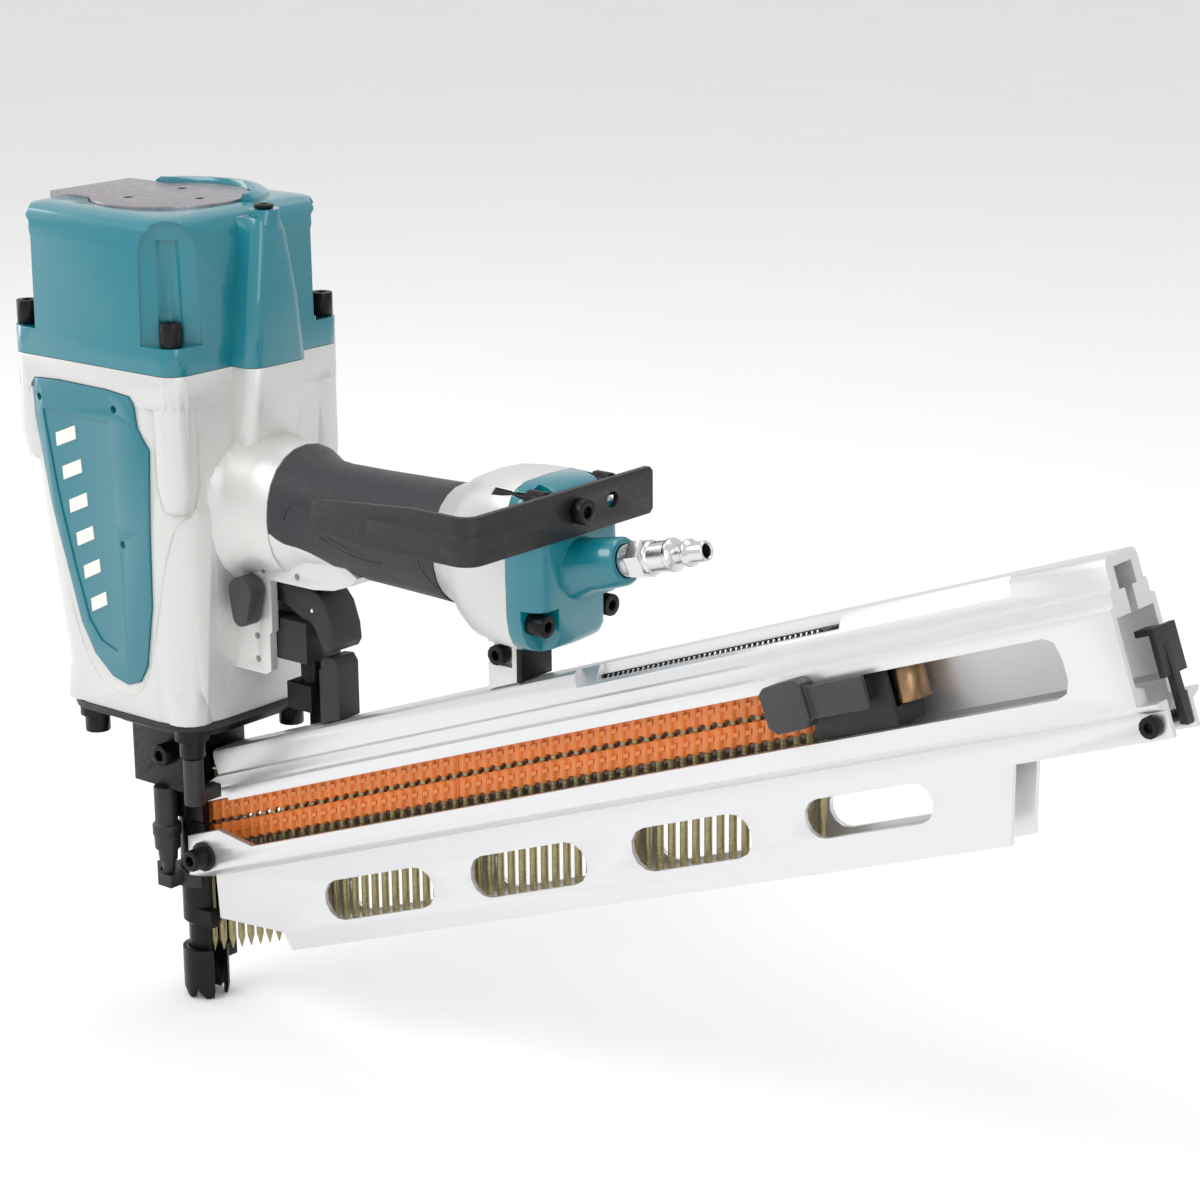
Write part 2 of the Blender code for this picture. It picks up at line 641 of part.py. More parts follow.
valve = lathe((0, 0, -17.5), (0, 0, 1), [(0, 35.5), (2, 38.6), (18, 38.6)], 28)
cut(valve, cylinder((0, 0, -19), (0, 0, 1), 22.0, 30, 20))
cut(valve, tube((0, 0, -8.0), (0, 0, 1), 35.5, 26.0, 20, 20))
keep("head_valve", valve, "cream", pivot=(0, 0, 0))
keep("head_valve_spring", coil((0, 0), 30.5, 1.3, -7.6, 21.8, 3, 14, 4), "steel")
piston = lathe((0, 0, -44.0), (0, 0, 1), [(0, 12.0), (4, 29.0), (6, 29.9), (16, 29.9), (17, 29.2), (17, 10.0), (12, 0.0)], 24)
blade = box(-2.9, 2.1, -2.7, 2.7, NAIL_HEAD_Z + 2.4, -36.0)
keep("piston_driver", add(piston, blade), "steel", pivot=(0, 0, 0))
nail_tip = NAIL_HEAD_Z - NAIL_LENGTH
first = lathe((0, 0, NAIL_HEAD_Z), (0, 0, -1),
              [(0, 0), (0, 3.45), (1.3, 3.45), (2.2, 1.65), (NAIL_LENGTH - 5, 1.65), (NAIL_LENGTH, 0)], 12)
keep("driven_nail", first, "steel", pivot=(0, 0, 0))

# ---------------------------------------------------------------- nose
gasket = loft([rounded(-42.5, 42.5, -42.5, 42.5, 19.0, z, 4) for z in (BODY_BOTTOM - GAP - 3.0, BODY_BOTTOM - GAP)])
cut(gasket, cylinder((0, 0, -190), (0, 0, 1), 13.0, 30, 16))
for sx, sy in CORNERS:
    cut(gasket, cylinder((sx * NOSE_BOLT, sy * NOSE_BOLT, -190), (0, 0, 1), 3.1, 30, 8))
keep("base_gasket", gasket, "seal")


def build_nose_frame():
    top = BODY_BOTTOM - 3.0 - 2 * GAP
    nose = loft([rounded(-26, 37, -33, 33, 17.0, top - 4.6, 4), rounded(-28, 39, -38, 38, 19.0, top, 4)])
    add(nose, loft([rounded(-23, 14, -18, 18, 2.0, z, 2) for z in (-216.0, -180.0)]))
    add(nose, cylinder((-3.0, 0, -232.0), (0, 0, 1), 10.6, 20, 28))
    cut(nose, cylinder((0, 0, -240), (0, 0, 1), 4.5, 70, 20))
    cut(nose, box(0, 30, -5.0, 5.0, -236.0, -197.0))
    add(nose, box(2.0, 12.6, -9.8, -5.6, -232.0, -223.8))
    cut(nose, cylinder((-14.0, -12.0, -226.4), (0, 1, 0), 1.7, 8, 10))
    cut(nose, cylinder((2.0, -20.0, -198.7), (0, 1, 0), 3.1, 10.5, 12))
    for sx, sy in CORNERS:
        hole = (sx * NOSE_BOLT, sy * NOSE_BOLT)
        add(nose, cylinder((hole[0], hole[1], top - 5.6), (0, 0, 1), 7.6, 5.6, 14))
        cut(nose, cylinder((hole[0], hole[1], top - 9), (0, 0, 1), 3.1, 20, 12))
    return nose


keep("nose_frame", build_nose_frame(), "black")
for index, (sx, sy) in enumerate(CORNERS):
    seat = (sx * NOSE_BOLT, sy * NOSE_BOLT, BODY_BOTTOM - 8.6 - 3 * GAP)
    keep("nose_bolt_%d" % (index + 1), socket_bolt(seat, (0, 0, -1), 5.6, 7.6, 2.7, 24.0), "plastic")
side_bolt = socket_bolt((2.0, -18.0 - GAP, -198.7), (0, -1, 0), 5.2, 6.4, 2.7, 7.0)
keep("nose_side_bolt", side_bolt, "black")


def build_nosepiece():
    guide = lathe((0, 0, NOSEPIECE_BOTTOM), (0, 0, 1), [(0, 6.6), (3, 7.2), (22.0, 7.2), (24.0, 9.4), (74.7, 9.4)], 32)
    cut(guide, cylinder((0, 0, -320), (0, 0, 1), 4.3, 120, 20))
    cut(guide, box(0, 20, -2.6, 2.6, -320, -200))
    add(guide, box(3.5, 13.5, -8.6, -3.2, -283.5, -275.5), box(3.0, 12.6, -9.2, -5.6, -247.6, -232.9))
    return guide


keep("nosepiece", build_nosepiece(), "black")
column = cylinder((31.0, -31.0, -213.0), (0, 0, 1), 4.6, 21.3, 14)
add(column, box(28.2, 33.8, -31.0, -17.6, -212.6, -206.6))
keep("guide_column", column, "plastic")


def build_clamp():
    ring = cylinder((0, 0, -264.5), (0, 0, 1), 12.6, 7.0, 32)
    add(ring, box(-19.0, -8.0, -10.0, -3.0, -264.5, -257.5), box(-9.0, -0.5, -19.0, -9.0, -264.0, -258.0))
    cut(ring, cylinder((0, 0, -270), (0, 0, 1), 9.7, 20, 32))
    cut(ring, box(-2.0, 30, -8.8, 30, -270, -250))
    cut(ring, box(-30, 30, 3.0, 30, -270, -250))
    cut(ring, cylinder((-15.5, -12, -261.0), (0, 1, 0), 1.5, 7.0, 10))
    return ring


keep("nosepiece_clamp", build_clamp(), "plastic")
adjuster = lathe((-4.5, -16.0, -257.7), (0, 0, 1),
                 [(0, 2.6), (6.5, 3.2), (6.5, 4.2), (12.0, 4.6), (12.0, 5.8), (18.0, 6.0), (18.6, 6.5), (23.6, 6.5), (24.4, 5.2),
                  (41.4, 5.2)], 12)
keep("depth_adjuster", adjuster, "plastic", pivot=(-4.5, -16.0, -245.0))


def build_contact_arm():
    leg = ((-6, -240), (6, -240), (6, -230), (16, -222), (50, -212), (60, -206), (66, -196), (66, -176), (70, -167.0),
           (82, -167.0), (82, ARM_TOP), (62, ARM_TOP), (54, -164), (54, -190), (48, -197), (-6, -204))
    arm = slab_y(leg, 18.8, 21.6)
    add(arm, box(67.6, 82.0, -8.0, 21.6, -167.0, ARM_TOP))
    add(arm, lathe((75.0, 0, -160.0), (0, 0, 1), [(0, 4.8), (17.0, 4.8), (17.0, 2.5), (27.0, 2.5)], 16))
    add(arm, box(-6, 6, 11.0, 21.6, -240.0, -232.0))
    add(arm, box(-6, 6, 11.0, 14.0, -299.0, -232.0))
    add(arm, box(-6, 6, 8.6, 14.0, -304.0, -296.8))
    foot = lathe((0, 0, CONTACT_BOTTOM), (0, 0, 1), [(0, 9.6), (4, 10.4), (23.5, 10.4)], 28)
    cut(foot, cylinder((0, 0, CONTACT_BOTTOM - 1), (0, 0, 1), 7.8, 40, 28))
    cut(foot, box(1.0, 20, -4.0, 4.0, -330, -290))
    for k in range(5):
        a = math.radians(70 + 55 * k)
        x = 9.0 * math.cos(a)
        y = 9.0 * math.sin(a)
        tooth = loft([[(x + w * math.cos(b), y + w * math.sin(b), z) for b in (a, a + 1.571, a + 3.142, a + 4.712)]
                      for z, w in ((CONTACT_BOTTOM - 1, 3.8), (CONTACT_BOTTOM + 5.5, 1.6))])
        cut(foot, tooth)
    add(arm, foot)
    return arm


keep("contact_arm", build_contact_arm(), "black", pivot=(0, 0, CONTACT_BOTTOM))


def build_arm_guide():
    block = box(67.2, 82.6, -10.4, 10.4, GUIDE_BOTTOM, -126.2)
    add(block, box(46.0, 68.0, -10.4, 10.4, GUIDE_BOTTOM, -131.0))
    cut(block, cylinder((75.0, 0, -150), (0, 0, 1), 5.3, 21.5, 16))
    cut(block, cylinder((75.0, 0, -135), (0, 0, 1), 3.2, 15.0, 16))
    return block


keep("arm_guide", build_arm_guide(), "plastic")
arm_spring = coil((75.0, 0.0), 4.1, 0.55, -142.8, -128.8, 4, 10, 4)
keep("contact_spring", arm_spring, "steel")


def build_arm_post():
    foot = mag(22.0, 0, MAG_TOP + GAP)
    outline = ((85.4, -172.2), (97.0, -168.0), (97.0, -143.6), (94.5, -140.3), (89.0, -140.8), (87.6, -142.0),
               (87.6, -145.6), (85.4, -147.0))
    post = slab_y(outline, -6.5, 6.5)
    cut(post, box(80, 94.0, -4.0, 4.0, -168.0, -146.0))
    below = mag_slab(((0, MAG_TOP + GAP), (200, MAG_TOP + GAP), (200, MAG_TOP - 30), (0, MAG_TOP - 30)), -20, 20)
    cut(post, below)
    return post


keep("arm_post", build_arm_post(), "plastic")


# ---------------------------------------------------------------- trigger group
def build_trigger():
    outline = ((53.0, -110.6), (58.5, -109.4), (70.0, -110.8), (84.0, -111.6), (89.0, -112.9), (93.3, -117.6),
               (96.6, -127.0), (97.3, -134.0), (95.2, -137.4), (91.8, -137.6), (89.4, -134.6), (86.6, -128.4),
               (83.6, -125.8), (79.0, -124.9), (70.0, -120.2), (58.0, -118.4), (53.6, -116.5))
    trig = slab_y(outline, -8.6, 8.6)
    hollow = ((40.0, -100.0), (87.2, -100.0), (87.8, -113.8), (91.2, -118.8), (94.2, -127.4), (94.8, -133.2),
              (93.4, -134.8), (91.6, -133.2), (88.6, -126.8), (85.0, -123.8), (78.2, -123.1), (78.2, -130.0), (40.0, -130.0))
    cut(trig, slab_y(hollow, -6.2, 6.2))
    cut(trig, cylinder((TRIGGER_PIVOT[0], -20, TRIGGER_PIVOT[2]), (0, 1, 0), 2.8, 40, 20))
    cut(trig, cylinder((IDLER_PIN[0], -20, IDLER_PIN[2]), (0, 1, 0), 1.3, 40, 12))
    return trig


keep("trigger", build_trigger(), "plastic", pivot=TRIGGER_PIVOT)


def build_idler():
    arm = slab_y(((66.0, -121.4), (66.0, -119.6), (83.0, -116.9), (86.0, -118.4), (86.6, -121.0), (84.5, -122.6)),
                 -3.6, 3.6)
    add(arm, cylinder((IDLER_PIN[0], -8.2, IDLER_PIN[2]), (0, 1, 0), 1.0, 16.4, 12))
    return arm


keep("trigger_idler", build_idler(), "steel", pivot=IDLER_PIN)
valve_body = tube((85.0, 0, -108.3), (0, 0, 1), 6.7, 2.2, 17.5, 20)
keep("trigger_valve_body", valve_body, "plastic")
stem = lathe((85.0, 0, -115.6), (0, 0, 1), [(0, 1.2), (0.8, 1.8), (28.0, 1.8), (28.0, 4.6), (30.5, 4.6)], 16)
keep("trigger_valve_stem", stem, "steel", pivot=(85.0, 0, -112.0))


def build_selector():
    shaft = cylinder((TRIGGER_PIVOT[0], -16.0, TRIGGER_PIVOT[2]), (0, 1, 0), 2.3, 31.5, 16)
    lever = []
    for k in range(9):
        a = math.radians(0 + 180 * k / 8)
        lever.append((TRIGGER_PIVOT[0] + 6.8 * math.cos(a), TRIGGER_PIVOT[2] + 6.6 * math.sin(a)))
    for k in range(7):
        a = math.radians(190 + 160 * k / 6)
        lever.append((TRIGGER_PIVOT[0] - 0.5 + 4.4 * math.cos(a), TRIGGER_PIVOT[2] - 11.2 + 4.2 * math.sin(a)))
    knob = loft([[(x, y, z) for x, z in lever] for y in (-WALL_OUT - GAP - 0.4, -24.6)])
    return add(shaft, knob)


keep("selector_lever", build_selector(), "plastic", pivot=TRIGGER_PIVOT)

# ---------------------------------------------------------------- magazine
MAG_HALF_SECTION = (
    (8.0, MAG_TOP), (10.0, MAG_TOP - 0.9), (10.8, MAG_TOP - 3.0), (10.8, -202.2), (12.6, -203.0), (12.6, -207.9),
    (15.3, -208.9), (15.3, -243.6), (13.6, MAG_CREASE), (9.2, MAG_CREASE - 1.6), (9.2, GUARD_BOTTOM),
    (7.0, GUARD_BOTTOM), (7.0, -238.5), (12.4, -237.0), (12.4, -212.4), (2.5, -212.4), (2.5, -203.4),
    (5.9, -203.4), (5.9, -195.2),
)


def build_magazine():
    right = [(y, h) for y, h in MAG_HALF_SECTION]
    left = [(-y, h) for y, h in reversed(MAG_HALF_SECTION)]
    body = mag_extrude(right + left, -90.0, MAG_S1)
    low = mag_slab(((300, -300), (460, -300), (460, -257), (300, -257)), -20, 20)
    behind = box(GUARD_END_X, 560, -20, 20, -300, 50)
    cut(body, common(low, behind))
    cut(body, mag_slab(((MAG_WALL_END, -180), (450, -180), (450, -243.6), (MAG_WALL_END, -243.6)), -30, 30))
    cut(body, box(-120, 14.6, -30, 30, -216.8, -150))
    cut(body, box(-120, 8.2, -30, 30, -330, -216.0))
    front = ((-120, -180), (MAG_S0, -180), (MAG_S0, -203.0), (-60.0, -206.8), (-67.5, -208.9), (-69.5, -212.6),
             (-120, -212.6))
    cut(body, mag_slab(front, -30, 30))
    mouth = ((-120, -212.6), (-40, -212.6), (-40, -228.0), (-52.9, -226.2), (-120, -226.2))
    cut(body, mag_slab(mouth, -30, 30))
    nose_cut = slab_y(((-20, -256.2), (19.0, -256.2), (20.5, -276.0), (60.5, -273.0), (67.0, -281.5), (76.0, -292.0),
                       (-20, -330)), -30, 30)
    cut(body, nose_cut)
    opening = ((-60.0, -212.6), (-42.0, -212.6), (-40.0, WINDOW[0]), (404.0 - 5, WINDOW[0]), (402.8, WINDOW[0] - 2), (404.5, WINDOW[0] - 8),
               (404.5, WINDOW[1] + 6), (402.6, WINDOW[1] + 1.6), (398.0, WINDOW[1]), (-33.9, WINDOW[1]),
               (-52.9, -226.0), (-60.0, -226.0))
    cut(body, mag_slab(opening, -20, -11.0))
    for s0, s1, h in ((-4.0, 64.0, -267.0), (87.0, 153.5, -267.0), (179.0, 241.5, -266.5)):
        cut(body, mag_slab(stadium(s0, s1, h - 9.0, h + 9.0), -20, 20))
    cut(body, mag_slab(stadium(269.0, 329.5, -273.0, -257.5), -20, 20))
    edge = [(-14.0, -186.0), (-14.0, -197.6), (-10.2, -197.6), (-4.2, -190.0), (-4.2, -186.0)]
    cut(body, mag_extrude(edge, 176.0, 388.0))
    slot = [(-14.0, -196.6), (-3.0, -196.6), (-3.0, -189.0), (-14.0, -189.0)]
    cut(body, mag_extrude(slot, 186.0, 309.0))
    cut(body, cylinder((18.9, -20, -244.8), (0, 1, 0), 3.3, 14, 12))
    bolt = mag(429.6, 0, -251.6)
    cut(body, cylinder((bolt[0], -12, bolt[2]), (0, 1, 0), 2.6, 24, 12))
    return body


keep("magazine_channel", build_magazine(), "aluminium", angle=28)
washer = lathe((18.9, -15.3 - GAP, -244.8), (0, -1, 0),
               [(4.0, 0), (4.0, 2.6, "hex"), (9.4, 2.6, "hex"), (9.4, 4.4), (8.8, 4.9), (1.6, 4.9), (1.6, 6.8), (0, 6.8),
                (0, 3.0), (-8.0, 3.0), (-8.0, 0)], 16)
keep("magazine_front_bolt", washer, "black")
rear_at = mag(429.6, 0, -251.6)
rear_bolt = socket_bolt((rear_at[0], -9.2 - GAP, rear_at[2]), (0, -1, 0), 4.0, 3.6, 2.3, 17.8)
keep("magazine_rear_bolt", rear_bolt, "black")


def build_nails(first_index, count):
    """One collated strip: a plastic band with nails standing in it."""
    t = math.tan(MAG_TILT)
    x0 = max(4.1, (first_index - 0.5) * NAIL_PITCH + 0.15)
    x1 = (first_index + count - 0.5) * NAIL_PITCH - 0.15
    top = NAIL_HEAD_Z - 16.2
    low = top - 21.6
    band = slab_y(((x0, top + x0 * t), (x1, top + x1 * t), (x1, low + x1 * t), (x0, low + x0 * t)), -2.5, 2.5)
    for i in range(first_index, first_index + count):
        x = i * NAIL_PITCH
        z = NAIL_HEAD_Z + x * t
        nail = lathe((x, 0, z), (0, 0, -1),
                     [(0, 3.5), (1.4, 3.5), (1.4, 1.65), (NAIL_LENGTH - 5, 1.65), (NAIL_LENGTH, 0)], 6)
        add(band, nail)
    return band


keep("nail_strip_front", build_nails(1, NAIL_COUNT_FRONT), "orange")
keep("nail_strip_rear", build_nails(1 + NAIL_COUNT_FRONT, NAIL_COUNT_REAR), "orange")


def build_pusher():
    outline = ((PUSHER_S0 + 4.9, -213.4), (PUSHER_S1, -213.4), (PUSHER_S1, -235.6), (PUSHER_S0 - 3.2, -235.6))
    block = mag_slab(outline, -11.8, 6.0)
    add(block, mag_slab(((300.0, -196.4), (310.0, -196.4), (310.0, -202.4), (297.9, -202.4)), -5.2, 5.2))
    add(block, mag_slab(((298.9, -200.0), (308.6, -200.0), (308.6, -215.0), (294.4, -215.0)), -1.9, 1.9))
    add(block, mag_slab(((297.0, -216.0), (318.0, -216.0), (318.0, -224.0), (297.0, -224.0)), -18.6, -11.0))
    cut(block, mag_slab(((316.0, -212.0), (330.0, -212.0), (330.0, -228.6), (316.0, -228.6)), -10.0, 12.0))
    return block


keep("pusher", build_pusher(), "plastic", pivot=mag(PUSHER_S0, 0, -225.0))


def build_knob():
    knob = mag_slab(((275.5, -213.0), (278.0, -210.8), (292.5, -209.8), (295.5, -212.0), (296.0, -225.0), (293.0, -228.6),
                     (279.5, -229.0), (276.0, -226.0)), -24.0, -15.9)
    add(knob, mag_slab(((292.0, -213.5), (322.0, -213.5), (322.0, -226.0), (292.0, -226.0)), -21.4, -18.9))
    return knob


keep("pusher_knob", build_knob(), "plastic", pivot=mag(PUSHER_S0, 0, -225.0))
roll_at = mag(324.6, 1.6, -228.3)
keep("ribbon_roll", lathe(roll_at, MAG_UP, [(0, 8.0), (13.6, 8.0)], 24), "bronze", pivot=roll_at)


def build_stop_lever():
    lever = mag_slab(((432.4, -254.6), (435.7, -255.2), (435.4, -237.0), (434.8, -226.0), (432.4, -226.0)), 2.5, 6.5)
    add(lever, mag_slab(((432.2, -237.0), (434.6, -237.0), (434.6, -219.6), (432.2, -219.6)), -2.0, 13.0))
    add(lever, mag_slab(((426.5, -221.8), (434.4, -221.8), (434.4, -219.4), (426.5, -219.4)), -1.6, 6.0))
    return lever


keep("nail_stop_lever", build_stop_lever(), "plastic", pivot=mag(434.0, 0, -252.5))


# ---------------------------------------------------------------- support bracket and belt hook
def build_bracket():
    z0 = mag(0, 0, MAG_TOP + GAP)[2]
    bracket = box(184.8, 200.4, -9.0, 9.0, -140.0, -114.1)
    under = mag_slab(((0, MAG_TOP + GAP), (300, MAG_TOP + GAP), (300, MAG_TOP - 30), (0, MAG_TOP - 30)), -20, 20)
    cut(bracket, under)
    cut(bracket, box(184.0, 197.6, -20, -5.5, -124.4, -115.4))
    cut(bracket, cylinder((190.6, -20, -119.9), (0, 1, 0), 3.0, 40, 14))
    return bracket


keep("support_bracket", build_bracket(), "silver")
keep("bracket_bolt", socket_bolt((190.6, -5.5 - GAP, -119.9), (0, -1, 0), 4.2, 5.6, 2.6, 16.0), "black")
strip_shape = [(200.7, -114.3), (203.5, -114.3), (203.5, -140.0), (200.7, -140.0)]
strap = slab_y(strip_shape, -10.0, 9.0)
cut(strap, mag_slab(((0, MAG_TOP + GAP), (300, MAG_TOP + GAP), (300, MAG_TOP - 30), (0, MAG_TOP - 30)), -20, 20))
keep("bracket_strap", strap, "black")

HOOK_X0 = END_CAP_REAR_X + GAP
HOOK_T = 2.8
HOOK_Y = -69.5
HOOK_BEND = 8.0


def hook_ring(p, out, z0, z1, thick, lift=0.0):
    """Section of the strip at p: out is the outer side's direction."""
    a = Vector((p[0], p[1], 0)) + Vector(out) * lift
    b = a - Vector(out) * thick
    return [(a.x, a.y, z0), (b.x, b.y, z0), (b.x, b.y, z1), (a.x, a.y, z1)]


def hook_path():
    """Points on the outer face, with the outward direction there."""
    xo = HOOK_X0 + HOOK_T
    path = [((xo, 43.5), (1, 0, 0)), ((xo, HOOK_Y + HOOK_BEND), (1, 0, 0))]
    for k in range(1, 6):
        a = math.radians(90.0 * k / 6)
        c = (xo - HOOK_BEND, HOOK_Y + HOOK_BEND)
        d = (math.cos(a), -math.sin(a), 0)
        path.append(((c[0] + HOOK_BEND * d[0], c[1] + HOOK_BEND * d[1]), d))
    path.append(((xo - HOOK_BEND, HOOK_Y), (0, -1, 0)))
    path.append(((147.0, HOOK_Y), (0, -1, 0)))
    return path


def build_hook():
    rings = []
    path = hook_path()
    rings.append(hook_ring((path[0][0][0], 42.3), (1, 0, 0), -63.2, -47.4, HOOK_T))
    path[0] = ((path[0][0][0], 40.4), (1, 0, 0))
    for p, out in path:
        rings.append(hook_ring(p, out, -65.0, -45.6, HOOK_T))
    hook = loft(rings)
    taper = ((140.0, -70.0), (182.0, -70.0), (182.0, -65.6), (152.0, -62.4), (147.6, -60.6), (146.0, -58.0), (140.0, -58.0))
    cut(hook, slab_y(taper, -80, -60))
    taper = ((140.0, -40.0), (200.0, -40.0), (200.0, -45.6), (152.0, -49.6), (147.6, -51.0), (146.4, -53.0), (140.0, -53.0))
    cut(hook, slab_y(taper, -80, -60))
    bead = []
    path = hook_path()
    path[0] = ((path[0][0][0], -25.0), (1, 0, 0))
    path[-1] = ((177.5, HOOK_Y), (0, -1, 0))
    for p, out in path:
        bead.append(hook_ring(p, out, -58.6, -52.8, 2.0, 0.9))
    add(hook, loft(bead))
    cut(hook, cylinder((220, -5.5, -54.6), (1, 0, 0), 3.0, 20, 16))
    cut(hook, cylinder((220, 16.6, -54.6), (1, 0, 0), 3.3, 20, 16))
    return hook


keep("belt_hook", build_hook(), "black")
hook_bolt = socket_bolt((HOOK_X0 + HOOK_T + GAP, -5.5, -54.6), (1, 0, 0), 5.2, 5.0, 2.6, 11.0)
keep("hook_bolt", hook_bolt, "black")


# ---------------------------------------------------------------- place everything, in metres
def place():
    centre = Vector(GRIP_CENTRE)
    for name, (obj, pivot) in PARTS.items():
        at = Vector(pivot) if pivot is not None else centre.copy()
        obj.data.transform(Matrix.Translation(-at))
        obj.data.transform(Matrix.Scale(0.001, 4))
        obj.location = (at - centre) * 0.001
    bpy.context.view_layer.update()


place()
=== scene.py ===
"""Looks for the pneumatic nail gun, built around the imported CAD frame.

Most nodes keep their CAD shape and get a material and softened edges here. The nail strips and the
air plug are modelled again, and the seams, badge bars and magazine spring are added.
Lengths are millimetres from the drive axis, unless a name or comment says otherwise.
"""

import math

import bpy
import bmesh
from mathutils import Matrix, Vector


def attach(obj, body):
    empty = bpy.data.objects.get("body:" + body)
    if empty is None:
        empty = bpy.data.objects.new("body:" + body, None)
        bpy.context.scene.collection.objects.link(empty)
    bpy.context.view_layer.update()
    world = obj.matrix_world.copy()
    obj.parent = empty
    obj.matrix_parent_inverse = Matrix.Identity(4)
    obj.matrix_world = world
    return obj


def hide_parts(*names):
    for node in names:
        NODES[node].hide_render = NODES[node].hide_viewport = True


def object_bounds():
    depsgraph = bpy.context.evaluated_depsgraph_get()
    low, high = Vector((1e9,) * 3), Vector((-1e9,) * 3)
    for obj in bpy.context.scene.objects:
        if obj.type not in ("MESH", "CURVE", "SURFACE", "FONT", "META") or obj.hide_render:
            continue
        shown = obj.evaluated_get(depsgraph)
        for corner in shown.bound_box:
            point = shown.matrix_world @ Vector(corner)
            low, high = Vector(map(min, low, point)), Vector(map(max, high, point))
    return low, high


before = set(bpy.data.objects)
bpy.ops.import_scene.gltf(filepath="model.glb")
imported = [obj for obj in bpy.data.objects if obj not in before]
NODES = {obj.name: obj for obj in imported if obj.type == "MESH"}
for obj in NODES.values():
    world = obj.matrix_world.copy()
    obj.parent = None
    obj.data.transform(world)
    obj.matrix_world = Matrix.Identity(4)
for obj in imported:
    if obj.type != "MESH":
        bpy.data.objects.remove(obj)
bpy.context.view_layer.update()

MM = 0.001
AXIS = Vector((-0.120, 0.0, 0.0795))  # the drive axis at the head cap's bolts, in metres
TILT = math.radians(20)  # the magazine climbs to the rear at this angle
RISE = math.tan(TILT)
ALONG = Vector((math.cos(TILT), 0.0, math.sin(TILT)))
ACROSS = Vector((0.0, 1.0, 0.0))
UP = Vector((-math.sin(TILT), 0.0, math.cos(TILT)))
DOWN = Vector((0.0, 0.0, -1.0))


def tool(x, y, z):
    """A point given from the drive axis."""
    return AXIS + Vector((x, y, z)) * MM


def mag(s, y, h):
    """A point given along, across and square to the magazine."""
    return AXIS + (ALONG * s + ACROSS * y + UP * h) * MM


# ---------------------------------------------------------------- materials
class Maker:
    """A node material under construction."""

    def __init__(self, name, colour, rough, metal=0.0, coat=0.0, spec=0.5, coat_rough=0.08):
        self.mat = bpy.data.materials.new(name)
        self.mat.use_nodes = True
        self.tree = self.mat.node_tree
        self.bsdf = self.tree.nodes["Principled BSDF"]
        self.put("Base Color", (*colour, 1.0))
        self.put("Roughness", rough)
        self.put("Metallic", metal)
        self.put("Coat Weight", coat)
        self.put("Coat Roughness", coat_rough)
        self.put("Specular IOR Level", spec)
        self.coords = self.node("ShaderNodeTexCoord").outputs["Object"]
        self.height = None

    def put(self, socket, value):
        self.bsdf.inputs[socket].default_value = value

    def node(self, kind, **inputs):
        made = self.tree.nodes.new(kind)
        for name, value in inputs.items():
            made.inputs[name.replace("_", " ")].default_value = value
        return made

    def link(self, a, b):
        self.tree.links.new(a, b)

    def mapped(self, scale, rotate=(0, 0, 0)):
        m = self.node("ShaderNodeMapping")
        m.inputs["Scale"].default_value = scale
        m.inputs["Rotation"].default_value = rotate
        self.link(self.coords, m.inputs["Vector"])
        return m.outputs["Vector"]

    def noise(self, scale, detail=3.0, vector=None, rough=0.5):
        n = self.node("ShaderNodeTexNoise", Scale=scale, Detail=detail, Roughness=rough)
        self.link(vector if vector else self.coords, n.inputs["Vector"])
        return n.outputs["Fac"]

    def cells(self, scale):
        n = self.node("ShaderNodeTexVoronoi", Scale=scale)
        self.link(self.coords, n.inputs["Vector"])
        return n.outputs["Distance"]

    def ramp(self, source, low, high, a, b):
        """source from low to high becomes a to b (numbers)."""
        n = self.node("ShaderNodeMapRange")
        n.inputs["From Min"].default_value = low
        n.inputs["From Max"].default_value = high
        n.inputs["To Min"].default_value = a
        n.inputs["To Max"].default_value = b
        self.link(source, n.inputs["Value"])
        return n.outputs["Result"]

    def tint(self, source, dark, light):
        """Base colour runs from dark to light with source."""
        n = self.tree.nodes.new("ShaderNodeValToRGB")
        n.color_ramp.elements[0].color = (*dark, 1)
        n.color_ramp.elements[1].color = (*light, 1)
        self.link(source, n.inputs["Fac"])
        self.link(n.outputs["Color"], self.bsdf.inputs["Base Color"])

    def rough(self, source, a, b):
        """Roughness runs from a to b over the middle of source."""
        self.link(self.ramp(source, 0.3, 0.7, a, b), self.bsdf.inputs["Roughness"])

    def bump(self, source, strength, distance):
        """Adds a layer of bump over the ones before it."""
        n = self.node("ShaderNodeBump", Strength=strength, Distance=distance)
        self.link(source, n.inputs["Height"])
        if self.height:
            self.link(self.height, n.inputs["Normal"])
        self.height = n.outputs["Normal"]
        self.link(self.height, self.bsdf.inputs["Normal"])


def shade(colour, k):
    """colour made k times as light."""
    return tuple(min(1.0, c * k) for c in colour)


def gloss_paint(name, colour):
    """Glossy enamel under a clear coat."""
    m = Maker(name, colour, 0.3, 0.0, coat=0.7, coat_rough=0.05)
    m.tint(m.noise(40, 2), shade(colour, 0.96), shade(colour, 1.05))
    m.rough(m.noise(120, 2), 0.27, 0.33)
    m.bump(m.noise(90, 2), 0.03, 0.0004)
    return m.mat


def flake_paint(name, colour):
    """Silver paint with fine flakes."""
    m = Maker(name, colour, 0.42, 0.45, coat=0.12, coat_rough=0.3)
    m.tint(m.noise(5200, 2, rough=0.7), shade(colour, 0.80), shade(colour, 1.16))
    m.rough(m.noise(1500, 3), 0.36, 0.5)
    m.bump(m.noise(2400, 3), 0.16, 0.00012)
    m.bump(m.noise(300, 2), 0.08, 0.0005)
    return m.mat


